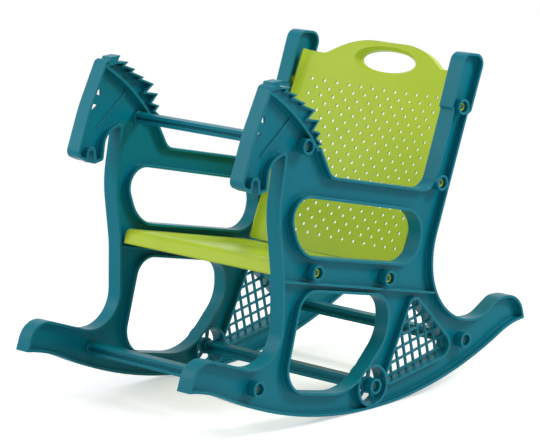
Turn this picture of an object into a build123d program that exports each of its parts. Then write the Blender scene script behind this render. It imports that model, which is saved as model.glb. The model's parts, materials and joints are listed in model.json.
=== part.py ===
"""Baby rocking chair, a knock-down set of plastic mouldings.

Two horse-shaped side frames stand on curved rockers. A seat, a backrest and four cross bars
lie between them. Each crossing piece ends in hollow posts that pass through bosses of the
frames, and a screw closes the end of every post.

Axes: +Z up, the chair faces -Y, X across the chair. Lengths in mm, angles in degrees.
"""
import os
from math import atan2, cos, radians, sin, sqrt, tan

from build123d import *

os.makedirs("parts", exist_ok=True)

# Side frames
frame_spacing = 283.0
frame_depth = 21.0
web_thickness = 3.0
rim_width = 3.0
rib_width = 2.4
cheek_rise = 2.0
mane_setback = 5.0

# Rockers
rocker_radius = 566.6
rocker_centre_y = 11.9
rocker_front_reach = 250.4
rocker_rear_reach = 241.6
tip_reach = 299.5
front_tip_height = 77.0
rear_tip_height = 65.5

# Bosses, posts and screws
boss_diameter = 19.5
boss_rise = 5.0
mouth_diameter = 14.0
mouth_depth = 8.0
post_diameter = 10.0
post_setback = 4.0
post_clearance = 0.3
shoulder_diameter = 13.0
screw_shank = 3.6
screw_length = 18.0
screw_head_diameter = 6.0
screw_head_height = 2.4
screw_clearance = 0.3
screw_setback = 0.4

# Where the cross bars meet the frames, and the bars' sections
bar_axes = {
    "handle_bar": (-105.7, 342.4),
    "front_bar": (-189.0, 62.5),
    "middle_bar": (13.4, 28.7),
    "rear_bar": (180.4, 57.7),
}
handle_bar_height = 12.0
stretcher_height = 14.0
bar_depth = 12.0
bar_wall = 4.0
collar_diameter = 16.0
collar_length = 4.0

# Seat, in a frame of its own: s runs back along the seat from the front posts, n stands on it
seat_pitch = 12.0
seat_y = -88.8
seat_z = 187.0
seat_post_spacing = 130.0
seat_gap = 0.6
seat_front = 51.0
seat_rear = 167.5
seat_top = 9.6
seat_skirt = 9.0
seat_wall = 3.0
seat_lip_radius = 8.0
seat_lip_slope = 3.5
seat_edge_radius = 2.0
seat_corner_radius = 3.5
dish_depth = 5.0
dish_slope = 60.0
dish_margin = 15.0
dish_corner_radius = 26.0

# Backrest, in a frame of its own: v runs up the back from the lower posts
back_recline = 22.9
back_y = 133.1
back_z = 265.9
back_post_spacing = 98.3
back_gap = 0.6
back_radius = 625.0
back_hollow = 10.8
back_depth = 12.0
back_wall = 3.0
back_lip_rise = 8.0
back_lip_width = 2.0
back_lip_reach = 10.0
back_bottom = -114.8
back_corner = 2.5
back_shoulder = 141.5
back_crown = 168.3
back_crown_half = 57.4
back_crown_radius = 113.0
back_arch_half = 99.0
back_arch_radius = 12.0
slot_length = 94.0
slot_height = 29.2
slot_centre = 144.3
slot_rim = 4.0
slot_flare = 3.5

# Perforated field of the backrest: full rows alternate with rows of one hole less
hole_size = 4.0
hole_sides = 6
hole_pitch = 19.67
hole_row_pitch = 9.866
hole_columns = 12
hole_rows = 21
hole_field_centre = 7.0

# Small wheel under the seat and the mesh behind it
wheel_radius = 26.5
wheel_wall = 3.0
hub_land = 1.0
spoke_count = 5
spoke_width = 4.0
spoke_angle = 9.0
mesh_pitch = 13.8
mesh_strand = 2.6
mesh_angle = 11.5
mesh_count = 21

# Outline of a side frame above the rockers, as corners (y, z, radius) from rear tip to front tip
body_corners = [
    (tip_reach, rear_tip_height, 0),
    (291.5, 100.5, 32),
    (250, 101, 25),
    (216, 82, 40),
    (122.5, 82, 82),
    (122, 184, 100),
    (184, 345.5, 5),
    (190.5, 348, 5),
    (218, 417, 14),
    (177.5, 423.5, 14),
    (153.5, 356.5, 3),
    (156.5, 355, 3),
    (120, 258, 22),
    (-60.3, 299.2, 18),
    (-80, 338, 60),
    (-104, 383, 80),
    (-147, 419, 5),
    (-163.5, 421.5, 8),
    (-193, 364, 200),
    (-214.5, 307, 9),
    (-187, 294.5, 4),
    (-171, 297.5, 4),
    (-166, 329, 22),
    (-139.5, 338, 3),
    (-153, 268, 150),
    (-144.5, 188, 150),
    (-147, 69.5, 44),
    (-285, 118, 28),
    (-tip_reach, front_tip_height, 0),
]

# Openings through a side frame
arm_corners = [(-137.5, 288, 24), (-112.7, 210.6, 45), (90.5, 168.9, 31), (104.5, 231.9, 31)]
leg_corners = [
    (-109, 166.8, 26),
    (-142, 49.5, 32),
    (-24, 26, 70),
    (39.5, 89.5, 50),
    (39.5, 137, 27),
]
mesh_corners = [(87.2, 131.6, 10), (32.2, 24.9, 8), (167.5, 47.6, 14)]
mouth_corners = [(-201.5, 280, 0), (-193.5, 313.5, 4), (-186.7, 313.5, 4), (-184, 280, 0)]
eye_corners = [
    [(-166, 386), (-176, 380.7), (-166, 375.6)],
    [(-181, 368.5), (-181, 358.4), (-171, 365)],
]

# Mane: forelock, then tufts from poll to nape, each a tip and the notch below it
forelock = [(-160, 416), (-156, 424), (-141, 424.5), (-146, 417), (-150, 410)]
mane_tufts = [
    ((-127, 415), (-133, 411)),
    ((-116, 404.7), (-121, 401.5)),
    ((-101.5, 393), (-105, 391)),
    ((-84.5, 382.5), (-97, 373.5)),
    ((-77.3, 369.5), (-88, 359)),
    ((-75.5, 354), (-82, 348)),
    ((-73, 340), (-79, 338)),
]

# Raised lines on the frames: mane line, cheek line and the line under the seat
mane_line = [(-167, 414.5), (-122, 380), (-84, 334)]
cheek_line = [(-124, 377), (-174, 338)]
seat_line_drop = 14.0
seat_line_ends = (-56.0, 222.0)

# Values that follow from the sizes above
frame_mid = frame_spacing / 2
frame_inside = frame_mid - frame_depth / 2
frame_outside = frame_mid + frame_depth / 2
web_inside = frame_mid - web_thickness / 2
web_outside = frame_mid + web_thickness / 2
boss_face = frame_outside + boss_rise
post_end = boss_face - post_setback
screw_seat = post_end - screw_setback - screw_head_height
seat_half = frame_inside - seat_gap
back_half = frame_inside - back_gap
bore_diameter = post_diameter + 2 * post_clearance
screw_bore = screw_shank + 2 * screw_clearance
screw_pocket = screw_head_diameter + 2 * screw_clearance
bore_depth = screw_setback + screw_length + screw_clearance


def seat_point(s, n):
    """Turn a place on the seat's own frame into (y, z)."""
    pitch = radians(seat_pitch)
    return (seat_y + s * cos(pitch) + n * sin(pitch), seat_z - s * sin(pitch) + n * cos(pitch))


def back_point(v):
    """Turn a height along the backrest's post line into (y, z)."""
    recline = radians(back_recline)
    return (back_y + v * sin(recline), back_z + v * cos(recline))


def rocker_point(reach):
    """Give the point of the rocker circle at a reach behind its lowest point."""
    return (rocker_centre_y + reach, rocker_radius - sqrt(rocker_radius**2 - reach**2))


def rocker_tangent(reach):
    """Give the direction of the rocker circle, away from its lowest point."""
    away = 1 if reach > 0 else -1
    return (away * sqrt(rocker_radius**2 - reach**2), away * reach)


def rounded(corners, closed=True):
    """Draw lines and tangent arcs through corners (y, z, radius), each limited by its room."""
    count = len(corners)
    points = [Vector(y, z) for y, z, _ in corners]
    reaches = []
    half_turns = []
    for i in range(count):
        before = points[i] - points[i - 1]
        after = points[(i + 1) % count] - points[i]
        half_turn = radians(before.get_angle(after)) / 2
        is_end = not closed and i in (0, count - 1)
        half_turns.append(half_turn)
        reaches.append(0 if is_end else corners[i][2] * tan(half_turn))
    room = []
    for i in range(count):
        edge = (points[(i + 1) % count] - points[i]).length
        wanted = reaches[i] + reaches[(i + 1) % count]
        room.append(min(1, 0.98 * edge / wanted) if wanted > 0 else 1)
    ends = []
    for i in range(count):
        reach = reaches[i] * min(room[i - 1], room[i])
        back = (points[i - 1] - points[i]).normalized()
        on = (points[(i + 1) % count] - points[i]).normalized()
        start = points[i] + back * reach
        stop = points[i] + on * reach
        if reach > 0:
            rise = reach / tan(half_turns[i]) * (1 / cos(half_turns[i]) - 1)
            ThreePointArc(start, points[i] + (back + on).normalized() * rise, stop)
        ends.append((start, stop))
    for i in range(count if closed else count - 1):
        Line(ends[i][1], ends[(i + 1) % count][0])


seat_axes = [seat_point(0, 0), seat_point(seat_post_spacing, 0)]
back_axes = [back_point(0), back_point(back_post_spacing)]
boss_axes = list(bar_axes.values()) + seat_axes + back_axes
wheel_axis = bar_axes["middle_bar"]

# Planes of the seat and the backrest
pitch = radians(seat_pitch)
recline = radians(back_recline)
seat_plane = Plane((0, seat_y, seat_z), x_dir=(1, 0, 0), z_dir=(0, sin(pitch), cos(pitch)))
seat_side = Plane((0, seat_y, seat_z), x_dir=(0, cos(pitch), -sin(pitch)), z_dir=(1, 0, 0))
back_plane = Plane((0, back_y, back_z), x_dir=(1, 0, 0), z_dir=(0, -cos(recline), sin(recline)))
back_section = Plane((0, back_y, back_z), x_dir=(1, 0, 0), z_dir=(0, sin(recline), cos(recline)))

# Flat shapes that the web and the rims of a side frame share
with BuildSketch() as outline:
    with BuildLine():
        rounded(body_corners, closed=False)
        front_end = rocker_point(-rocker_front_reach)
        rear_end = rocker_point(rocker_rear_reach)
        ThreePointArc(front_end, (rocker_centre_y, 0), rear_end)
        TangentArc(
            front_end,
            (-tip_reach, front_tip_height),
            tangent=rocker_tangent(-rocker_front_reach),
        )
        TangentArc(
            rear_end,
            (tip_reach, rear_tip_height),
            tangent=rocker_tangent(rocker_rear_reach),
        )
    make_face()
    with BuildLine():
        rounded(mouth_corners)
    make_face(mode=Mode.SUBTRACT)

with BuildSketch() as mane:
    with BuildLine():
        tuft_points = [mane_line[0], forelock[3]]
        for tip, notch in mane_tufts:
            tuft_points += [tip, notch]
        Polyline(*tuft_points, mane_line[-1])
        ThreePointArc(*mane_line)
    make_face()
    with BuildLine():
        Polyline(*forelock, close=True)
    make_face()

with BuildSketch() as silhouette:
    add(outline.sketch)
    add(mane.sketch)

with BuildSketch() as arm_opening:
    with BuildLine():
        rounded(arm_corners)
    make_face()

with BuildSketch() as leg_opening:
    with BuildLine():
        rounded(leg_corners)
    make_face()

with BuildSketch() as mesh_opening:
    with BuildLine():
        rounded(mesh_corners)
    make_face()

with BuildSketch() as wheel_disc:
    with Locations(wheel_axis):
        Circle(wheel_radius)

# Rims: everything that stands to the full depth of the frame
with BuildSketch(Plane.YZ.offset(frame_inside)) as rims:
    add(outline.sketch)
    offset(outline.sketch, amount=-rim_width, mode=Mode.SUBTRACT)
    add(mane.sketch, mode=Mode.SUBTRACT)
    with BuildLine() as mane_rib:
        ThreePointArc(*mane_line)
    trace(mane_rib.line, rim_width)
    with BuildLine() as seat_rib:
        Line(*[seat_point(s, -seat_line_drop) for s in seat_line_ends])
    trace(seat_rib.line, rib_width)
    for opening in (arm_opening, leg_opening, mesh_opening):
        offset(opening.sketch, amount=rim_width, mode=Mode.ADD)
        add(opening.sketch, mode=Mode.SUBTRACT)
    add(wheel_disc.sketch)
    with Locations(wheel_axis):
        Circle(wheel_radius - wheel_wall, mode=Mode.SUBTRACT)
    add(silhouette.sketch, mode=Mode.INTERSECT)

# Windows between the spokes of the wheel
with BuildSketch() as wheel_windows:
    with Locations(wheel_axis):
        Circle(wheel_radius - wheel_wall)
        Circle(boss_diameter / 2 + hub_land, mode=Mode.SUBTRACT)
        with PolarLocations(wheel_radius / 2, spoke_count, start_angle=spoke_angle):
            Rectangle(wheel_radius, spoke_width, mode=Mode.SUBTRACT)

# Cells of the mesh
with BuildSketch() as mesh_cells:
    cell = mesh_pitch - mesh_strand
    with Locations(Location(mesh_corners[0][:2], mesh_angle)):
        with GridLocations(mesh_pitch, mesh_pitch, mesh_count, mesh_count):
            Rectangle(cell, cell)
    add(mesh_opening.sketch, mode=Mode.INTERSECT)
    add(wheel_disc.sketch, mode=Mode.SUBTRACT)

# Web: the thin wall at mid depth
with BuildSketch(Plane.YZ.offset(web_inside)) as web:
    add(outline.sketch)
    add(arm_opening.sketch, mode=Mode.SUBTRACT)
    add(leg_opening.sketch, mode=Mode.SUBTRACT)
    add(wheel_disc.sketch)
    add(wheel_windows.sketch, mode=Mode.SUBTRACT)
    add(mesh_cells.sketch, mode=Mode.SUBTRACT)
    for eye in eye_corners:
        with BuildLine():
            Polyline(*eye, close=True)
        make_face(mode=Mode.SUBTRACT)

with BuildPart() as left_side_frame:
    extrude(web.sketch, amount=web_thickness)
    extrude(rims.sketch, amount=frame_depth)
    # Mane, a little lower than the rims on the outer side
    with BuildSketch(Plane.YZ.offset(frame_inside)):
        add(mane.sketch)
    extrude(amount=frame_depth - mane_setback)
    # Cheek line, raised a little from the web on both sides
    with BuildSketch(Plane.YZ.offset(web_inside - cheek_rise)):
        with BuildLine() as cheek_rib:
            Line(*cheek_line)
        trace(cheek_rib.line, rib_width)
    extrude(amount=web_thickness + 2 * cheek_rise)
    # Bosses on the outer side
    with BuildSketch(Plane.YZ.offset(web_outside)):
        with Locations(*boss_axes):
            Circle(boss_diameter / 2)
    extrude(amount=boss_face - web_outside)
    with BuildSketch(Plane.YZ.offset(boss_face)):
        with Locations(*boss_axes):
            Circle(mouth_diameter / 2)
    extrude(amount=-mouth_depth, mode=Mode.SUBTRACT)
    with BuildSketch(Plane.YZ.offset(boss_face)):
        with Locations(*boss_axes):
            Circle(bore_diameter / 2)
    extrude(amount=-frame_depth - boss_rise, mode=Mode.SUBTRACT)
left_side_frame.part.label = "left_side_frame"
export_step(left_side_frame.part, "parts/left_side_frame.step")

with BuildPart() as right_side_frame:
    mirror(left_side_frame.part, about=Plane.YZ)
right_side_frame.part.label = "right_side_frame"
export_step(right_side_frame.part, "parts/right_side_frame.step")


def posts(axes, inner, shoulder):
    """Add a shouldered hollow post at both ends of each axis, from inner out into the boss."""
    for side in (-1, 1):
        with BuildSketch(Plane.YZ.offset(side * inner)) as shoulder_face:
            with Locations(*axes):
                Circle(shoulder / 2)
        extrude(shoulder_face.sketch, amount=side * (web_inside - inner))
        with BuildSketch(Plane.YZ.offset(side * web_inside)) as post_face:
            with Locations(*axes):
                Circle(post_diameter / 2)
        extrude(post_face.sketch, amount=side * (post_end - web_inside))
        with BuildSketch(Plane.YZ.offset(side * post_end)) as bore_face:
            with Locations(*axes):
                Circle(screw_bore / 2)
        extrude(bore_face.sketch, amount=-side * bore_depth, mode=Mode.SUBTRACT)
        with BuildSketch(Plane.YZ.offset(side * post_end)) as pocket_face:
            with Locations(*axes):
                Circle(screw_pocket / 2)
        extrude(pocket_face.sketch, amount=side * (screw_seat - post_end), mode=Mode.SUBTRACT)


seat_middle = (seat_rear - seat_front) / 2
seat_length = seat_rear + seat_front


def dish_face(margin, radius):
    """Draw the dish's rim on the seat's top, a margin in from the seat's edge."""
    with BuildSketch(seat_plane.offset(seat_top)) as face:
        with Locations((0, seat_middle)):
            RectangleRounded(2 * (seat_half - margin), seat_length - 2 * margin, radius)
    return face.sketch


# Space under the seat's skin, which follows the dish
with BuildPart() as seat_core:
    with BuildSketch(seat_plane.offset(-seat_skirt)):
        with Locations((0, seat_middle)):
            Rectangle(2 * (seat_half - seat_wall), seat_length - 2 * (seat_wall + seat_lip_slope))
    extrude(amount=seat_skirt + seat_top - seat_wall)
    extrude(
        dish_face(dish_margin - seat_wall, dish_corner_radius + seat_wall),
        amount=-dish_depth - seat_wall,
        taper=dish_slope,
        mode=Mode.SUBTRACT,
    )

with BuildPart() as seat:
    with BuildSketch(seat_side):
        with BuildLine():
            rounded(
                [
                    (-seat_front, -seat_skirt, seat_edge_radius),
                    (-seat_front + seat_lip_slope, seat_top, seat_lip_radius),
                    (seat_rear, seat_top, seat_edge_radius),
                    (seat_rear, -seat_skirt, 0),
                ]
            )
        make_face()
    extrude(amount=seat_half, both=True)
    with BuildSketch(seat_plane.offset(-seat_skirt)):
        with Locations((0, seat_middle)):
            RectangleRounded(2 * seat_half, seat_length, seat_corner_radius)
    extrude(amount=seat_skirt + seat_top, mode=Mode.INTERSECT)
    # Dish that the child sits in, and the hollow underside
    extrude(
        dish_face(dish_margin, dish_corner_radius),
        amount=-dish_depth,
        taper=dish_slope,
        mode=Mode.SUBTRACT,
    )
    add(seat_core.part, mode=Mode.SUBTRACT)
    # Ribs across the underside on the post lines
    with BuildSketch(seat_plane.offset(-seat_skirt + seat_wall)):
        with Locations((0, 0), (0, seat_post_spacing)):
            Rectangle(2 * seat_half - seat_wall, seat_wall)
    extrude(amount=seat_skirt + seat_top - dish_depth - 2 * seat_wall)
    posts(seat_axes, seat_half - seat_wall, shoulder_diameter)
seat.part.label = "seat"
export_step(seat.part, "parts/seat.step")

# Backrest: its front and rear faces are curved about one line in front of the chair
back_axis_y = back_hollow - back_radius
back_start = back_section.offset(back_bottom - back_depth)
back_reach = back_crown - back_bottom + 2 * back_depth
arch_turn = atan2(back_crown - back_shoulder, back_arch_half - back_crown_half)


def back_arc(depth, half):
    """Draw the arc at a depth behind the backrest's front face and give the place of its ends."""
    radius = back_radius + depth
    end = back_axis_y + sqrt(radius**2 - half**2)
    ThreePointArc((-half, end), (0, back_axis_y + radius), (half, end))
    return end


def back_slab(inner, outer, half):
    """Add the curved slab between two depths behind the backrest's front face."""
    with BuildSketch(back_start) as slab_face:
        with BuildLine() as edge:
            near = back_arc(inner, half)
            far = back_arc(outer, half)
            Line((half, near), (half, far))
            Line((-half, near), (-half, far))
        make_face(edge.edges())
    extrude(slab_face.sketch, amount=back_reach)


def back_outline(inset):
    """Draw the backrest's front view, inset from its true edge."""
    half = back_half - inset
    shift = inset * tan(arch_turn / 2)
    right = [
        (half - back_corner, back_bottom + inset, 0),
        (half, back_bottom + inset + back_corner, 0),
        (half, back_shoulder - inset - back_corner, 0),
        (half - back_corner, back_shoulder - inset, 0),
        (back_arch_half - shift, back_shoulder - inset, back_arch_radius),
        (back_crown_half - shift, back_crown - inset, back_crown_radius),
    ]
    left = [(-x, v, radius) for x, v, radius in reversed(right)]
    with BuildLine() as edge:
        rounded(right + left)
    make_face(edge.edges())


# Space behind the backrest's skin
with BuildPart() as back_core:
    back_slab(back_wall, 2 * back_depth, back_half)
    with BuildSketch(back_plane.offset(-back_radius)):
        back_outline(back_wall)
    extrude(amount=2 * back_radius, mode=Mode.INTERSECT)

# Collar round the hand slot
with BuildPart() as slot_collar:
    back_slab(back_wall / 2, back_depth, back_half)
    with BuildSketch(back_plane.offset(-back_radius)):
        with Locations((0, slot_centre)):
            Ellipse(slot_length / 2 + slot_rim, slot_height / 2 + slot_rim)
    extrude(amount=2 * back_radius, mode=Mode.INTERSECT)

# Holes of the field
with BuildSketch(back_plane.offset(-back_radius)) as back_holes:
    with Locations((0, hole_field_centre)):
        with GridLocations(hole_pitch, 2 * hole_row_pitch, hole_columns, (hole_rows + 1) // 2):
            RegularPolygon(hole_size / 2, hole_sides)
        with GridLocations(hole_pitch, 2 * hole_row_pitch, hole_columns - 1, hole_rows // 2):
            RegularPolygon(hole_size / 2, hole_sides)

with BuildPart() as backrest:
    # Full block, with an edge that curls forward along each side
    with BuildSketch(back_start):
        with BuildLine():
            lip_foot = back_half - back_lip_width - back_lip_reach
            foot_end = back_arc(0, lip_foot)
            rear_end = back_arc(back_depth, back_half)
            for side in (-1, 1):
                TangentArc(
                    (side * lip_foot, foot_end),
                    (side * (back_half - back_lip_width), -back_lip_rise),
                    tangent=(side * (foot_end - back_axis_y), -lip_foot),
                )
                Polyline(
                    (side * (back_half - back_lip_width), -back_lip_rise),
                    (side * back_half, -back_lip_rise),
                    (side * back_half, rear_end),
                )
        make_face()
    extrude(amount=back_reach)
    with BuildSketch(back_plane.offset(-back_radius)):
        back_outline(0)
    extrude(amount=2 * back_radius, mode=Mode.INTERSECT)
    add(back_core.part, mode=Mode.SUBTRACT)
    add(slot_collar.part)
    with BuildSketch(back_plane.offset(-back_radius)):
        with Locations((0, slot_centre)):
            Ellipse(slot_length / 2, slot_height / 2)
    extrude(amount=2 * back_radius, mode=Mode.SUBTRACT)
    # Flared front edge of the hand slot
    with BuildSketch(back_plane.offset(-back_hollow - slot_flare)) as flare_foot:
        with Locations((0, slot_centre)):
            Ellipse(slot_length / 2, slot_height / 2)
    with BuildSketch(back_plane.offset(-back_hollow + slot_flare)) as flare_mouth:
        with Locations((0, slot_centre)):
            Ellipse(slot_length / 2 + 2 * slot_flare, slot_height / 2 + 2 * slot_flare)
    loft([flare_foot.sketch, flare_mouth.sketch], mode=Mode.SUBTRACT)
    posts(back_axes, back_half, shoulder_diameter)
    extrude(back_holes.sketch, amount=2 * back_radius, mode=Mode.SUBTRACT)
backrest.part.label = "backrest"
export_step(backrest.part, "parts/backrest.step")

# Cross bars of I section with a round collar and a post at each end
for bar_name, bar_axis in bar_axes.items():
    bar_height = handle_bar_height if bar_name == "handle_bar" else stretcher_height
    with BuildPart() as bar:
        with BuildSketch(Plane.YZ):
            with Locations(bar_axis):
                Rectangle(bar_depth, bar_height)
                with Locations((-bar_depth / 2, 0), (bar_depth / 2, 0)):
                    Rectangle(bar_depth - bar_wall, bar_height - 2 * bar_wall, mode=Mode.SUBTRACT)
        extrude(amount=web_inside - collar_length, both=True)
        posts([bar_axis], web_inside - collar_length, collar_diameter)
    bar.part.label = bar_name
    export_step(bar.part, f"parts/{bar_name}.step")

# Screws, one group for each crossing piece
screw_groups = {f"{bar_name}_screws": [axis] for bar_name, axis in bar_axes.items()}
screw_groups["seat_screws"] = seat_axes
screw_groups["backrest_screws"] = back_axes
for group_name, group_axes in screw_groups.items():
    with BuildPart() as screws:
        for side in (-1, 1):
            with BuildSketch(Plane.YZ.offset(side * screw_seat)):
                with Locations(*group_axes):
                    Circle(screw_head_diameter / 2)
            extrude(amount=side * screw_head_height)
            with BuildSketch(Plane.YZ.offset(side * screw_seat)):
                with Locations(*group_axes):
                    Circle(screw_shank / 2)
            extrude(amount=-side * (screw_length - screw_head_height))
    screws.part.label = group_name
    export_step(screws.part, f"parts/{group_name}.step")
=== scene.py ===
# %% [markdown]
# # A toddler's rocking chair
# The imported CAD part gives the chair's true shapes: two horse-shaped side frames on rockers, a
# seat, a backrest, four cross bars and their screws. This lesson dresses those shapes with moulded
# plastic, makes the screws in detail, drills the back, hollows the manes and sets up a plain studio
# with the photograph's camera. Lengths are in metres unless a step says otherwise, and the chair
# faces -Y.

# %% Load the chair
import json
import math

import bmesh
import bpy
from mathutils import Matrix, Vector


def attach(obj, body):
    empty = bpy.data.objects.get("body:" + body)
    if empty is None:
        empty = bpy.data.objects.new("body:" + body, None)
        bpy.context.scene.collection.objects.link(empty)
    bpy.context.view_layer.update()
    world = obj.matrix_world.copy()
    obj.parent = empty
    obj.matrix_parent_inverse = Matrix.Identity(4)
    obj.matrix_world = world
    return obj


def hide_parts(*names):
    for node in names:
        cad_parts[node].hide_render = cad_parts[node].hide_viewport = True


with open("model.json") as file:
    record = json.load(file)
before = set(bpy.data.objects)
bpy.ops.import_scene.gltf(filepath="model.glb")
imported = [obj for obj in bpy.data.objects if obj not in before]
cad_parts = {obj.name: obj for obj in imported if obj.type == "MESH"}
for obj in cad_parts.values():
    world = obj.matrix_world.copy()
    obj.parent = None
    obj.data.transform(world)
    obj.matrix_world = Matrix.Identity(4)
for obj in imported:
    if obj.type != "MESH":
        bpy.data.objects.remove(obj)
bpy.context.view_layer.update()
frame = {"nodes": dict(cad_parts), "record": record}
chair_nodes = frame["nodes"]
print("chair nodes:", ", ".join(sorted(chair_nodes)))

# %% [markdown]
# ## A moulded plastic
# Both colours of the chair are injection-moulded polypropylene: one even colour with a faint
# cloudiness, a very fine grain from the mould, and edges that the mould rounds by less than a
# millimetre. A Bevel node rounds the edges in the shading alone, which leaves the true solids as
# they are. The same node tells where an edge or an inside corner is, and there a paler colour is
# painted on as a highlight.


# %% Node helpers
def add_node(tree, kind, inputs=None, **settings):
    """Add a node, set its properties and then the values of its sockets."""
    made = tree.nodes.new(kind)
    for name, value in settings.items():
        setattr(made, name, value)
    for name, value in (inputs or {}).items():
        made.inputs[name].default_value = value
    return made


def screen_colour(red, green, blue):
    """Turn screen values of 0 to 255 into the linear colour that shaders use."""
    shares = [value / 255 for value in (red, green, blue)]
    linear = [s / 12.92 if s <= 0.04045 else ((s + 0.055) / 1.055) ** 2.4 for s in shares]
    return (*linear, 1.0)


def map_range(tree, value, low, high, to_low, to_high):
    """Stretch a number from one range to another and give the result's socket."""
    stretch = add_node(tree, "ShaderNodeMapRange")
    for name, number in zip(("From Min", "From Max", "To Min", "To Max"), (low, high, to_low, to_high)):
        stretch.inputs[name].default_value = number
    tree.links.new(value, stretch.inputs["Value"])
    return stretch.outputs["Result"]


# %% The plastic's material
noise_low = 0.3
noise_high = 0.7
plastic_ior = 1.49
edge_radius = 0.0011
edge_turn = 0.72
flat_turn = 0.99
# Largest share of the paler colour painted on edges as a highlight, at the sharpest turn
edge_highlight_share = 0.85
cloud_scale = 11.0
sheen_scale = 34.0
sheen_drift = 0.03
grain_scale = 1400.0
grain_depth = 0.0002


def moulded_plastic(name, deep, pale, edge_highlight, roughness, gloss, grain):
    """Make a plastic that drifts between two shades, with soft edges painted paler as a highlight and a
    fine mould grain.
    """
    material = bpy.data.materials.new(name)
    material.use_nodes = True
    tree = material.node_tree
    shader = tree.nodes["Principled BSDF"]
    place = add_node(tree, "ShaderNodeTexCoord").outputs["Object"]

    cloud = add_node(tree, "ShaderNodeTexNoise", {"Scale": cloud_scale, "Detail": 3.0})
    shades = add_node(tree, "ShaderNodeMix", {"A": deep, "B": pale}, data_type="RGBA")
    tree.links.new(place, cloud.inputs["Vector"])
    drift = map_range(tree, cloud.outputs["Fac"], noise_low, noise_high, 0, 1)
    tree.links.new(drift, shades.inputs["Factor"])

    soft_edge = add_node(tree, "ShaderNodeBevel", {"Radius": edge_radius}, samples=4)
    true_normal = add_node(tree, "ShaderNodeNewGeometry").outputs["Normal"]
    turn = add_node(tree, "ShaderNodeVectorMath", operation="DOT_PRODUCT")
    tree.links.new(soft_edge.outputs["Normal"], turn.inputs[0])
    tree.links.new(true_normal, turn.inputs[1])
    # Painted highlight: where the Bevel normal turns away from the true normal, at edges and inside
    # corners, the colour is mixed towards a paler one
    highlighted = add_node(tree, "ShaderNodeMix", {"B": edge_highlight}, data_type="RGBA")
    highlight_share = map_range(tree, turn.outputs["Value"], edge_turn, flat_turn, edge_highlight_share, 0)
    tree.links.new(highlight_share, highlighted.inputs["Factor"])
    tree.links.new(shades.outputs["Result"], highlighted.inputs["A"])
    tree.links.new(highlighted.outputs["Result"], shader.inputs["Base Color"])

    sheen = add_node(tree, "ShaderNodeTexNoise", {"Scale": sheen_scale, "Detail": 2.0})
    tree.links.new(place, sheen.inputs["Vector"])
    smoothest = roughness - sheen_drift
    roughest = roughness + sheen_drift
    spread = map_range(tree, sheen.outputs["Fac"], noise_low, noise_high, smoothest, roughest)
    tree.links.new(spread, shader.inputs["Roughness"])

    speckle = add_node(tree, "ShaderNodeTexNoise", {"Scale": grain_scale, "Detail": 2.0})
    relief = add_node(tree, "ShaderNodeBump", {"Strength": grain, "Distance": grain_depth})
    tree.links.new(place, speckle.inputs["Vector"])
    tree.links.new(speckle.outputs["Fac"], relief.inputs["Height"])
    tree.links.new(soft_edge.outputs["Normal"], relief.inputs["Normal"])
    tree.links.new(relief.outputs["Normal"], shader.inputs["Normal"])
    shader.inputs["IOR"].default_value = plastic_ior
    shader.inputs["Specular IOR Level"].default_value = gloss
    return material


# %% Two plastics
teal_plastic = moulded_plastic(
    "teal_plastic",
    deep=screen_colour(0, 116, 134),
    pale=screen_colour(0, 124, 143),
    # Paler colour painted along edges and inside corners as a highlight
    edge_highlight=screen_colour(90, 176, 188),
    roughness=0.34,
    gloss=0.15,
    grain=0.08,
)
lime_plastic = moulded_plastic(
    "lime_plastic",
    deep=screen_colour(184, 210, 55),
    pale=screen_colour(190, 215, 61),
    # Paler colour painted along edges and inside corners as a highlight
    edge_highlight=screen_colour(204, 222, 108),
    roughness=0.34,
    gloss=0.18,
    grain=0.02,
)
print("plastics:", teal_plastic.name, lime_plastic.name)

# %% [markdown]
# ## The plastic on its pieces
# The record says which slot each piece takes. The two side frames and the four bars are teal, the
# seat and the backrest are lime.

# %% Dress the moulded pieces
plastics = {"teal_plastic": teal_plastic, "lime_plastic": lime_plastic}
screw_nodes = []
for subpart in frame["record"]["subparts"]:
    piece = chair_nodes[subpart["node"]]
    plastic = plastics.get(subpart["material_slot"])
    if plastic is None:
        screw_nodes.append(piece)
        continue
    for material_slot in piece.material_slots:
        material_slot.material = plastic
    print(f"{piece.name}: {plastic.name}, {len(piece.data.polygons)} triangles")

# %% [markdown]
# ## The screws
# The photograph shows a dark centre in each boss, which is taken for the head of a screw that closes
# the post. Sixteen of them are alike, so one Geometry Nodes tree makes the screw and sets it on a
# point for each place. The places are read from the CAD's plain screws, which the detailed ones
# then replace. Their steel is a mottled grey.

# %% Steel of the screws
mottle_scale = 700.0
steel_dark = screen_colour(92, 108, 106)
steel_pale = screen_colour(132, 146, 142)
steel_smoothest = 0.35
steel_roughest = 0.55
steel_metallic = 0.7

screw_steel = bpy.data.materials.new("screw_steel")
screw_steel.use_nodes = True
steel_tree = screw_steel.node_tree
steel_shader = steel_tree.nodes["Principled BSDF"]
steel_place = add_node(steel_tree, "ShaderNodeTexCoord").outputs["Object"]
steel_mottle = add_node(steel_tree, "ShaderNodeTexNoise", {"Scale": mottle_scale, "Detail": 4.0})
steel_shades = add_node(
    steel_tree, "ShaderNodeMix", {"A": steel_dark, "B": steel_pale}, data_type="RGBA"
)
steel_tree.links.new(steel_place, steel_mottle.inputs["Vector"])
steel_tree.links.new(steel_mottle.outputs["Fac"], steel_shades.inputs["Factor"])
steel_tree.links.new(steel_shades.outputs["Result"], steel_shader.inputs["Base Color"])
steel_spread = map_range(
    steel_tree, steel_mottle.outputs["Fac"], noise_low, noise_high, steel_smoothest, steel_roughest
)
steel_tree.links.new(steel_spread, steel_shader.inputs["Roughness"])
steel_shader.inputs["Metallic"].default_value = steel_metallic
print("steel:", screw_steel.name)


# %% Find the places of the screws
weld_distance = 1e-6


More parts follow.
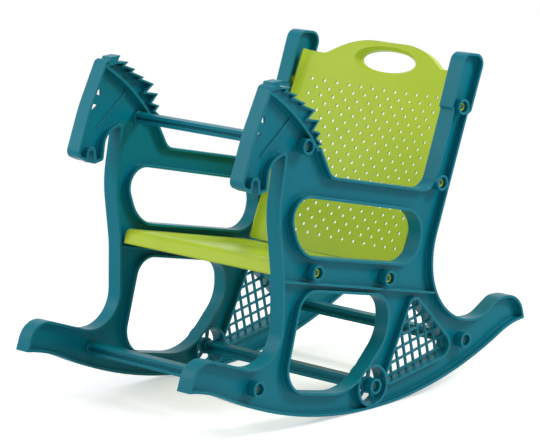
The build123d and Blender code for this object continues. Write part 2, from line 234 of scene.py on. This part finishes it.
def loose_pieces(mesh):
    """Give the corner points of each separate solid of a CAD mesh."""
    solid = bmesh.new()
    solid.from_mesh(mesh)
    bmesh.ops.remove_doubles(solid, verts=solid.verts, dist=weld_distance)
    waiting = set(solid.verts)
    pieces = []
    while waiting:
        reached = [waiting.pop()]
        for corner in reached:
            for edge in corner.link_edges:
                other = edge.other_vert(corner)
                if other in waiting:
                    waiting.remove(other)
                    reached.append(other)
        pieces.append([corner.co.copy() for corner in reached])
    solid.free()
    return pieces


screw_places = []
for screw_node in screw_nodes:
    for corners in loose_pieces(screw_node.data):
        low = Vector([min(corner[axis] for corner in corners) for axis in range(3)])
        high = Vector([max(corner[axis] for corner in corners) for axis in range(3)])
        screw_places.append((low, high))
screw_size = screw_places[0][1] - screw_places[0][0]
print(len(screw_places), "screws,", round(screw_size.x * 1000, 1), "mm long")

# %% [markdown]
# The tree takes the points, makes a pan head with a cross recess and a plain shank, and turns each
# copy outwards by the point's own direction.


# %% The screw tree
def tree_group(name, sockets):
    """Start a Geometry Nodes tree with named inputs and one geometry output."""
    tree = bpy.data.node_groups.new(name, "GeometryNodeTree")
    tree.interface.new_socket("Geometry", in_out="INPUT", socket_type="NodeSocketGeometry")
    for label, kind in sockets.items():
        tree.interface.new_socket(label, in_out="INPUT", socket_type=kind)
    tree.interface.new_socket("Geometry", in_out="OUTPUT", socket_type="NodeSocketGeometry")
    return tree


screw_sizes = {
    "Head Diameter": screw_size.y,
    "Head Height": 0.0024,
    "Shank Diameter": 0.0036,
    "Length": screw_size.x,
    "Recess Width": 0.0036,
    "Recess Gap": 0.0009,
}
screw_tree = tree_group("screw_tree", {label: "NodeSocketFloat" for label in screw_sizes})
screw_tree.interface.new_socket("Material", in_out="INPUT", socket_type="NodeSocketMaterial")
entry = screw_tree.nodes.new("NodeGroupInput")
exit_node = screw_tree.nodes.new("NodeGroupOutput")


def join_up(tree, *pairs):
    """Link output sockets to input sockets."""
    for start, end in pairs:
        tree.links.new(start, end)


def reckon(tree, operation, *values):
    """Work out a number from others, each a socket or a plain number, and give its socket."""
    result = add_node(tree, "ShaderNodeMath", operation=operation)
    for socket, value in zip(result.inputs, values):
        if isinstance(value, (int, float)):
            socket.default_value = value
        else:
            tree.links.new(value, socket)
    return result.outputs[0]


def half_of(tree, value):
    """Halve a socket's number and give the result's socket."""
    return reckon(tree, "MULTIPLY", value, 0.5)


def vector_of(tree, **parts):
    """Combine sockets into a vector; parts that are not named stay zero."""
    combined = add_node(tree, "ShaderNodeCombineXYZ")
    for axis, value in parts.items():
        tree.links.new(value, combined.inputs[axis])
    return combined.outputs[0]


head_top_share = 0.36
head = add_node(screw_tree, "GeometryNodeMeshCone", {"Vertices": 24})
head_top = reckon(screw_tree, "MULTIPLY", entry.outputs["Head Diameter"], head_top_share)
join_up(
    screw_tree,
    (head_top, head.inputs["Radius Top"]),
    (half_of(screw_tree, entry.outputs["Head Diameter"]), head.inputs["Radius Bottom"]),
    (entry.outputs["Head Height"], head.inputs["Depth"]),
)
recess_bars = add_node(screw_tree, "GeometryNodeJoinGeometry")
for first, second in (("Recess Width", "Recess Gap"), ("Recess Gap", "Recess Width")):
    bar = add_node(screw_tree, "GeometryNodeMeshCube")
    size = vector_of(
        screw_tree,
        X=entry.outputs[first],
        Y=entry.outputs[second],
        Z=entry.outputs["Head Height"],
    )
    lift = add_node(screw_tree, "GeometryNodeTransform")
    raised = vector_of(screw_tree, Z=entry.outputs["Head Height"])
    join_up(
        screw_tree,
        (size, bar.inputs["Size"]),
        (bar.outputs["Mesh"], lift.inputs["Geometry"]),
        (raised, lift.inputs["Translation"]),
        (lift.outputs["Geometry"], recess_bars.inputs[0]),
    )
cut = add_node(screw_tree, "GeometryNodeMeshBoolean", operation="DIFFERENCE", solver="EXACT")
cut.inputs["Self Intersection"].default_value = True
join_up(
    screw_tree,
    (head.outputs["Mesh"], cut.inputs["Mesh 1"]),
    (recess_bars.outputs["Geometry"], cut.inputs["Mesh 2"]),
)
lower_head = add_node(screw_tree, "GeometryNodeTransform")
head_drop = reckon(screw_tree, "MULTIPLY", entry.outputs["Head Height"], -1)
join_up(
    screw_tree,
    (cut.outputs["Mesh"], lower_head.inputs["Geometry"]),
    (vector_of(screw_tree, Z=head_drop), lower_head.inputs["Translation"]),
)
shank = add_node(screw_tree, "GeometryNodeMeshCylinder", {"Vertices": 12})
hang_shank = add_node(screw_tree, "GeometryNodeTransform")
join_up(
    screw_tree,
    (half_of(screw_tree, entry.outputs["Shank Diameter"]), shank.inputs["Radius"]),
    (shank.outputs["Mesh"], hang_shank.inputs["Geometry"]),
)
both_lengths = reckon(screw_tree, "ADD", entry.outputs["Length"], entry.outputs["Head Height"])
shank_drop = reckon(screw_tree, "MULTIPLY", both_lengths, -0.5)
shank_run = reckon(screw_tree, "SUBTRACT", entry.outputs["Length"], entry.outputs["Head Height"])
join_up(
    screw_tree,
    (shank_run, shank.inputs["Depth"]),
    (vector_of(screw_tree, Z=shank_drop), hang_shank.inputs["Translation"]),
)
whole_screw = add_node(screw_tree, "GeometryNodeMeshBoolean", operation="UNION", solver="EXACT")
direction = add_node(screw_tree, "GeometryNodeInputNamedAttribute", data_type="FLOAT_VECTOR")
direction.inputs["Name"].default_value = "outward"
turn_out = add_node(screw_tree, "FunctionNodeAlignRotationToVector", axis="Z")
set_screws = add_node(screw_tree, "GeometryNodeInstanceOnPoints")
realize = add_node(screw_tree, "GeometryNodeRealizeInstances")
paint = add_node(screw_tree, "GeometryNodeSetMaterial")
join_up(
    screw_tree,
    (lower_head.outputs["Geometry"], whole_screw.inputs["Mesh 2"]),
    (hang_shank.outputs["Geometry"], whole_screw.inputs["Mesh 2"]),
    (direction.outputs["Attribute"], turn_out.inputs["Vector"]),
    (entry.outputs["Geometry"], set_screws.inputs["Points"]),
    (whole_screw.outputs["Mesh"], set_screws.inputs["Instance"]),
    (turn_out.outputs["Rotation"], set_screws.inputs["Rotation"]),
    (set_screws.outputs["Instances"], realize.inputs["Geometry"]),
    (realize.outputs["Geometry"], paint.inputs["Geometry"]),
    (entry.outputs["Material"], paint.inputs["Material"]),
    (paint.outputs["Geometry"], exit_node.inputs["Geometry"]),
)
print("screw tree:", len(screw_tree.nodes), "nodes")


# %% Run the tree
def made_by_tree(name, mesh, tree, values):
    """Run a Geometry Nodes tree on a mesh and give the result as a plain mesh object."""
    carrier = bpy.data.objects.new(name + "_carrier", mesh)
    bpy.context.scene.collection.objects.link(carrier)
    modifier = carrier.modifiers.new("tree", "NODES")
    modifier.node_group = tree
    for item in tree.interface.items_tree:
        if item.item_type == "SOCKET" and item.in_out == "INPUT" and item.name in values:
            modifier[item.identifier] = values[item.name]
    evaluated = carrier.evaluated_get(bpy.context.evaluated_depsgraph_get())
    finished = bpy.data.objects.new(name, bpy.data.meshes.new_from_object(evaluated))
    bpy.context.scene.collection.objects.link(finished)
    bpy.data.objects.remove(carrier)
    return finished


head_points = []
head_ways = []
for low, high in screw_places:
    middle = (low + high) / 2
    outward = 1 if middle.x > 0 else -1
    head_points.append((high.x if outward > 0 else low.x, middle.y, middle.z))
    head_ways.append((outward, 0, 0))
screw_points = bpy.data.meshes.new("screw_points")
screw_points.from_pydata(head_points, [], [])
facing = screw_points.attributes.new("outward", "FLOAT_VECTOR", "POINT")
for point, way in zip(facing.data, head_ways):
    point.vector = way
post_screws = made_by_tree(
    "post_screws", screw_points, screw_tree, {**screw_sizes, "Material": screw_steel}
)
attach(post_screws, "root")
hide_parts(*[screw_node.name for screw_node in screw_nodes])
print("post_screws:", len(post_screws.data.polygons), "faces")

# %% [markdown]
# ## Cutting details out of the plain solids
# Two details of the mouldings are finer than the CAD solids: the round holes of the back and the
# hollow mane. Each is cut out of a copy of its CAD piece, which the cut copy then replaces. One tree
# does the cutting. It takes a cutter out of the solid, shades it smooth, keeps edges that turn by
# more than the sharp angle crisp, and gives it its plastic.

# %% The carving tree
carve_tree = tree_group(
    "carve_tree",
    {"Cutter": "NodeSocketObject", "Sharp Angle": "NodeSocketFloat", "Material": "NodeSocketMaterial"},
)
carve_given = carve_tree.nodes.new("NodeGroupInput").outputs
cutter_shape = add_node(carve_tree, "GeometryNodeObjectInfo", transform_space="ORIGINAL")
pierce = add_node(carve_tree, "GeometryNodeMeshBoolean", operation="DIFFERENCE", solver="EXACT")
weld = add_node(carve_tree, "GeometryNodeMergeByDistance", {"Distance": weld_distance})
bend = add_node(carve_tree, "GeometryNodeInputMeshEdgeAngle")
is_sharp = reckon(carve_tree, "GREATER_THAN", bend.outputs["Unsigned Angle"], carve_given["Sharp Angle"])
smooth_faces = add_node(carve_tree, "GeometryNodeSetShadeSmooth", {"Shade Smooth": True}, domain="FACE")
crisp_edges = add_node(carve_tree, "GeometryNodeSetShadeSmooth", {"Shade Smooth": False}, domain="EDGE")
real_piece = add_node(carve_tree, "GeometryNodeRealizeInstances")
paint_piece = add_node(carve_tree, "GeometryNodeSetMaterial")
join_up(
    carve_tree,
    (carve_given["Cutter"], cutter_shape.inputs["Object"]),
    (carve_given["Geometry"], pierce.inputs["Mesh 1"]),
    (cutter_shape.outputs["Geometry"], pierce.inputs["Mesh 2"]),
    (pierce.outputs["Mesh"], weld.inputs["Geometry"]),
    (weld.outputs["Geometry"], smooth_faces.inputs[0]),
    (smooth_faces.outputs[0], crisp_edges.inputs[0]),
    (is_sharp, crisp_edges.inputs["Selection"]),
    (crisp_edges.outputs[0], real_piece.inputs["Geometry"]),
    (real_piece.outputs["Geometry"], paint_piece.inputs["Geometry"]),
    (carve_given["Material"], paint_piece.inputs["Material"]),
    (paint_piece.outputs["Geometry"], carve_tree.nodes.new("NodeGroupOutput").inputs["Geometry"]),
)
print("carving tree:", len(carve_tree.nodes), "nodes")


# %% Carve a copy of a CAD piece
def merged_copy(mesh):
    """Give a plain copy of a CAD mesh in which corners that lie on each other are one."""
    solid = bmesh.new()
    solid.from_mesh(mesh)
    bmesh.ops.remove_doubles(solid, verts=solid.verts, dist=weld_distance)
    solid.verts.index_update()
    corners = [corner.co.copy() for corner in solid.verts]
    faces = [[corner.index for corner in face.verts] for face in solid.faces]
    solid.free()
    plain = bpy.data.meshes.new(mesh.name + "_merged")
    plain.from_pydata(corners, [], faces)
    return plain


sharp_angle = math.radians(22)


def carved(name, node_name, cutter, slot_name):
    """Cut a cutter out of a copy of a CAD node and put the copy in the node's place."""
    values = {"Cutter": cutter, "Sharp Angle": sharp_angle, "Material": plastics[slot_name]}
    piece = made_by_tree(name, merged_copy(chair_nodes[node_name].data), carve_tree, values)
    bpy.data.objects.remove(cutter)
    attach(piece, "root")
    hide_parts(node_name)
    print(f"{name}: {len(piece.data.polygons)} faces")


# %% [markdown]
# ## The perforated back
# Rows of small round holes pierce the backrest, and every second row has one hole less. The CAD
# keeps its holes six-sided. A tree makes the drills that turn them round: it lays two grids of points
# on the back's plane, sinks them to its hollow face and sets a tapered drill on every point. The
# holes widen towards the rear, so light from behind shows through them even at the photograph's
# slanting view. The drill runs on past both faces of the wall, so its ends are narrower and wider
# than the hole.

# %% The drill tree
back_recline = math.radians(22.9)
back_foot = Vector((0, 0.1331, 0.2659))
back_up = Vector((0, math.sin(back_recline), math.cos(back_recline)))
hole_field_height = 0.007
hole_front = 0.0041625
hole_rear = 0.0060875
overrun = 0.5
end_taper = (hole_rear - hole_front) * overrun
drill_values = {
    "Mouth Diameter": hole_front - end_taper,
    "Tail Diameter": hole_rear + end_taper,
    "Wall": 0.003,
    "Hollow": 0.0108,
    "Curve Radius": 0.625,
    "Column Pitch": 0.01967,
    "Row Pitch": 0.019732,
    "Columns": 12,
    "Full Rows": 11,
    "Turn": math.pi / 2 - back_recline,
    "Middle": back_foot + back_up * hole_field_height,
    "Material": lime_plastic,
}
drill_sockets = {label: "NodeSocketFloat" for label in drill_values}
drill_sockets.update(Columns="NodeSocketInt", Middle="NodeSocketVector", Material="NodeSocketMaterial")
drill_sockets["Full Rows"] = "NodeSocketInt"
drill_tree = tree_group("drill_tree", drill_sockets)
given = drill_tree.nodes.new("NodeGroupInput").outputs
all_points = add_node(drill_tree, "GeometryNodeJoinGeometry")
for fewer in (0, 1):
    columns = reckon(drill_tree, "SUBTRACT", given["Columns"], fewer)
    rows = reckon(drill_tree, "SUBTRACT", given["Full Rows"], fewer)
    column_gaps = reckon(drill_tree, "SUBTRACT", columns, 1)
    row_gaps = reckon(drill_tree, "SUBTRACT", rows, 1)
    grid = add_node(drill_tree, "GeometryNodeMeshGrid")
    join_up(
        drill_tree,
        (columns, grid.inputs["Vertices X"]),
        (rows, grid.inputs["Vertices Y"]),
        (reckon(drill_tree, "MULTIPLY", column_gaps, given["Column Pitch"]), grid.inputs["Size X"]),
        (reckon(drill_tree, "MULTIPLY", row_gaps, given["Row Pitch"]), grid.inputs["Size Y"]),
        (grid.outputs["Mesh"], all_points.inputs[0]),
    )
across = add_node(drill_tree, "ShaderNodeSeparateXYZ")
join_up(drill_tree, (add_node(drill_tree, "GeometryNodeInputPosition").outputs[0], across.inputs[0]))
side_square = reckon(drill_tree, "MULTIPLY", across.outputs["X"], across.outputs["X"])
radius_square = reckon(drill_tree, "MULTIPLY", given["Curve Radius"], given["Curve Radius"])
drop = reckon(drill_tree, "SQRT", reckon(drill_tree, "SUBTRACT", radius_square, side_square))
lift_at_side = reckon(drill_tree, "SUBTRACT", given["Curve Radius"], drop)
face_height = reckon(drill_tree, "SUBTRACT", lift_at_side, given["Hollow"])
tail_depth = reckon(drill_tree, "MULTIPLY", given["Wall"], 1 + overrun)
tail_height = reckon(drill_tree, "SUBTRACT", face_height, tail_depth)
drill_length = reckon(drill_tree, "MULTIPLY", given["Wall"], 1 + 2 * overrun)
sink_points = add_node(drill_tree, "GeometryNodeSetPosition")
drill = add_node(drill_tree, "GeometryNodeMeshCone", {"Vertices": 16})
set_drills = add_node(drill_tree, "GeometryNodeInstanceOnPoints")
lean_back = add_node(drill_tree, "FunctionNodeEulerToRotation")
place_drills = add_node(drill_tree, "GeometryNodeTransform")
real_drills = add_node(drill_tree, "GeometryNodeRealizeInstances")
paint_drills = add_node(drill_tree, "GeometryNodeSetMaterial")
join_up(
    drill_tree,
    (half_of(drill_tree, given["Mouth Diameter"]), drill.inputs["Radius Top"]),
    (half_of(drill_tree, given["Tail Diameter"]), drill.inputs["Radius Bottom"]),
    (drill_length, drill.inputs["Depth"]),
    (all_points.outputs[0], sink_points.inputs["Geometry"]),
    (vector_of(drill_tree, Z=tail_height), sink_points.inputs["Offset"]),
    (sink_points.outputs[0], set_drills.inputs["Points"]),
    (drill.outputs["Mesh"], set_drills.inputs["Instance"]),
    (set_drills.outputs["Instances"], place_drills.inputs["Geometry"]),
    (vector_of(drill_tree, X=given["Turn"]), lean_back.inputs["Euler"]),
    (lean_back.outputs["Rotation"], place_drills.inputs["Rotation"]),
    (given["Middle"], place_drills.inputs["Translation"]),
    (place_drills.outputs["Geometry"], real_drills.inputs["Geometry"]),
    (real_drills.outputs["Geometry"], paint_drills.inputs["Geometry"]),
    (given["Material"], paint_drills.inputs["Material"]),
    (paint_drills.outputs["Geometry"], drill_tree.nodes.new("NodeGroupOutput").inputs["Geometry"]),
)
print("drill tree:", len(drill_tree.nodes), "nodes")

# %% Drill the back
back_drills = made_by_tree("back_drills", bpy.data.meshes.new("drill_start"), drill_tree, drill_values)
carved("drilled_back", "backrest", back_drills, "lime_plastic")

# %% [markdown]
# ## The hollow mane
# The photograph shows the mane as a toothed wall round a panel as deep as the rest of the frame's
# panels. The CAD's mane is a plain block, so the panel is cut from both of its sides. On one side the
# cut follows the mane line, an arc through three points. On the other it stays a wall's width inside
# the tufts. Places here are in millimetres along Y and Z, as in the part's source.

# %% The mane's corners
mane_line = [Vector((-167, 414.5)), Vector((-122, 380)), Vector((-84, 334))]
mane_rib_width = 3.0
mane_turns = (33.5, 57.6)
mane_steps = 9
tuft_wall = 2.3
mane_front = (-146, 417)
mane_tufts = [
    ((-127, 415), (-133, 411)),
    ((-116, 404.7), (-121, 401.5)),
    ((-101.5, 393), (-105, 391)),
    ((-84.5, 382.5), (-97, 373.5)),
    ((-77.3, 369.5), (-88, 359)),
    ((-75.5, 354), (-82, 348)),
    ((-73, 340), (-79, 338)),
]
tuft_corners = [mane_line[0], Vector(mane_front)]
for tip, notch in mane_tufts:
    tuft_corners += [Vector(tip), Vector(notch)]
tuft_corners.append(mane_line[-1])
print("mane:", len(mane_tufts), "tufts")


# %% Outline of the mane's panel
def walled_corner(before, corner, after):
    """Move a tuft's corner inwards so that a wall of even width stays along both of its sides."""
    first_run = (corner - before).normalized()
    second_run = (after - corner).normalized()
    first_in = Vector((first_run.y, -first_run.x))
    second_in = Vector((second_run.y, -second_run.x))
    return corner + (first_in + second_in) * tuft_wall / (1 + first_in.dot(second_in))


def circle_through(first, second, third):
    """Give the middle and the radius of the circle through three points."""
    near_run = second - first
    far_run = third - first
    near_square = near_run.length_squared
    far_square = far_run.length_squared
    to_middle = Vector(
        (
            far_run.y * near_square - near_run.y * far_square,
            near_run.x * far_square - far_run.x * near_square,
        )
    ) / (2 * (near_run.x * far_run.y - near_run.y * far_run.x))
    return first + to_middle, to_middle.length


panel_edge = [
    walled_corner(*three) for three in zip(tuft_corners, tuft_corners[1:], tuft_corners[2:])
]
mane_centre, mane_radius = circle_through(*mane_line)
rib_side_radius = mane_radius + mane_rib_width / 2
for step in range(mane_steps):
    share = step / (mane_steps - 1)
    turn = math.radians(mane_turns[0] + share * (mane_turns[1] - mane_turns[0]))
    panel_edge.append(mane_centre + Vector((math.cos(turn), math.sin(turn))) * rib_side_radius)
print("mane panel:", len(panel_edge), "corners")

# %% Cut the manes
# From outside the mane up to the web, on its inner and its outer side
mane_cuts = ((129.0, 140.0), (143.0, 149.0))


def mane_cutter(side):
    """Make the two prisms that hollow the mane of the frame on one side of the chair."""
    solid = bmesh.new()
    for near, far in mane_cuts:
        ends = []
        for depth in (near, far):
            ends.append([solid.verts.new(Vector((side * depth, y, z)) / 1000) for y, z in panel_edge])
            solid.faces.new(ends[-1])
        for i in range(len(panel_edge)):
            solid.faces.new((ends[0][i - 1], ends[0][i], ends[1][i], ends[1][i - 1]))
    bmesh.ops.recalc_face_normals(solid, faces=solid.faces)
    mesh = bpy.data.meshes.new("mane_cutter")
    solid.to_mesh(mesh)
    solid.free()
    cutter = bpy.data.objects.new("mane_cutter", mesh)
    bpy.context.scene.collection.objects.link(cutter)
    return cutter


carved("carved_left_frame", "left_side_frame", mane_cutter(1), "teal_plastic")
carved("carved_right_frame", "right_side_frame", mane_cutter(-1), "teal_plastic")

# %% [markdown]
# ## Floor and studio
# The photograph stands on white with soft shadows under the rockers. The floor is a matte sheet
# with a faint glow that takes those shadows near the chair and turns to plain white further out. The
# white that the camera and the gloss see comes from Light Path, so the light on the chair stays at a
# plain level.


# %% White seen by the camera
def seen_directly(tree):
    """Give a socket that is 1 for camera, glossy and transmitted rays and 0 for others."""
    path = add_node(tree, "ShaderNodeLightPath")
    largest = path.outputs["Is Camera Ray"]
    for name in ("Is Glossy Ray", "Is Transmission Ray"):
        largest = reckon(tree, "MAXIMUM", largest, path.outputs[name])
    return largest


# %% The floor
floor_half = 4.0
fade_start = 0.3
fade_end = 0.75
near_glow = 0.48
floor_grey = (0.9, 0.9, 0.9, 1)
floor_mesh = bpy.data.meshes.new("floor")
floor_mesh.from_pydata(
    [(x * floor_half, y * floor_half, 0) for x, y in ((-1, -1), (1, -1), (1, 1), (-1, 1))],
    [],
    [(0, 1, 2, 3)],
)
floor = bpy.data.objects.new("floor", floor_mesh)
bpy.context.scene.collection.objects.link(floor)
floor_sheet = bpy.data.materials.new("floor_sheet")
floor_sheet.use_nodes = True
floor_tree = floor_sheet.node_tree
floor_tree.nodes.remove(floor_tree.nodes["Principled BSDF"])
matte = add_node(floor_tree, "ShaderNodeBsdfDiffuse", {"Color": floor_grey})
near_light = add_node(floor_tree, "ShaderNodeEmission")
lit_matte = add_node(floor_tree, "ShaderNodeAddShader")
plain_white = add_node(floor_tree, "ShaderNodeEmission", {"Strength": 1.0})
reach = add_node(floor_tree, "ShaderNodeVectorMath", operation="LENGTH")
blend = add_node(floor_tree, "ShaderNodeMixShader")
is_seen = seen_directly(floor_tree)
far_share = map_range(floor_tree, reach.outputs["Value"], fade_start, fade_end, 0, 1)
join_up(
    floor_tree,
    (add_node(floor_tree, "ShaderNodeTexCoord").outputs["Object"], reach.inputs[0]),
    (reckon(floor_tree, "MULTIPLY", is_seen, near_glow), near_light.inputs["Strength"]),
    (matte.outputs[0], lit_matte.inputs[0]),
    (near_light.outputs[0], lit_matte.inputs[1]),
    (reckon(floor_tree, "MULTIPLY", is_seen, far_share), blend.inputs["Fac"]),
    (lit_matte.outputs[0], blend.inputs[1]),
    (plain_white.outputs[0], blend.inputs[2]),
    (blend.outputs[0], floor_tree.nodes["Material Output"].inputs["Surface"]),
)
floor.data.materials.append(floor_sheet)
print("floor:", 2 * floor_half, "m wide")

# %% The world
world_level = 0.42
world = bpy.data.worlds.new("studio")
bpy.context.scene.world = world
world.use_nodes = True
world_tree = world.node_tree
sky_light = world_tree.nodes["Background"]
sky_light.inputs["Color"].default_value = (1, 1, 1, 1)
level = map_range(world_tree, seen_directly(world_tree), 0, 1, world_level, 1)
world_tree.links.new(level, sky_light.inputs["Strength"])
print("world level:", world_level)

# %% The lamps
chair_middle = Vector((0, 0, 0.2))


def soft_lamp(name, direction, distance, size, power):
    """Hang a square area lamp that looks at the middle of the chair."""
    lamp = bpy.data.lights.new(name, "AREA")
    lamp.size = size
    lamp.energy = power
    holder = bpy.data.objects.new(name, lamp)
    holder.location = chair_middle + Vector(direction).normalized() * distance
    holder.rotation_euler = Vector(direction).to_track_quat("Z", "Y").to_euler()
    bpy.context.scene.collection.objects.link(holder)


soft_lamp("front_lamp", (-0.7, -1.0, 0.7), 1.7, 1.1, 10)
soft_lamp("top_lamp", (0.1, 0.0, 1.0), 1.4, 0.9, 4)
soft_lamp("side_lamp", (0.9, 0.75, 0.85), 2.0, 0.5, 17)
print("lamps:", [lamp.name for lamp in bpy.data.lights])

# %% [markdown]
# ## The camera
# The camera stands where the photograph was taken. Its angle, distance and lens come from a fit of
# the chair's known corners to the picture.

# %% Camera of the photograph
photo_width = 540
photo_height = 441
view_azimuth = math.radians(44.53)
view_elevation = math.radians(11.58)
view_distance = 3.9059
view_target = Vector((0, -0.0107, 0.2235))
focal_pixels = 3147.3
centre_pixel = (270.9, 215.5)
sensor_width = 36.0

towards_camera = Vector(
    (
        math.sin(view_azimuth) * math.cos(view_elevation),
        -math.cos(view_azimuth) * math.cos(view_elevation),
        math.sin(view_elevation),
    )
)
lens = bpy.data.cameras.new("photo_camera")
lens.sensor_fit = "HORIZONTAL"
lens.sensor_width = sensor_width
lens.lens = focal_pixels * sensor_width / photo_width
lens.shift_x = (photo_width / 2 - centre_pixel[0]) / photo_width
lens.shift_y = (centre_pixel[1] - photo_height / 2) / photo_width
camera = bpy.data.objects.new("photo_camera", lens)
camera.location = view_target + towards_camera * view_distance
camera.rotation_euler = towards_camera.to_track_quat("Z", "Y").to_euler()
bpy.context.scene.collection.objects.link(camera)
bpy.context.scene.camera = camera
bpy.context.scene.view_settings.view_transform = "Standard"
print("lens", round(lens.lens, 1), "mm")
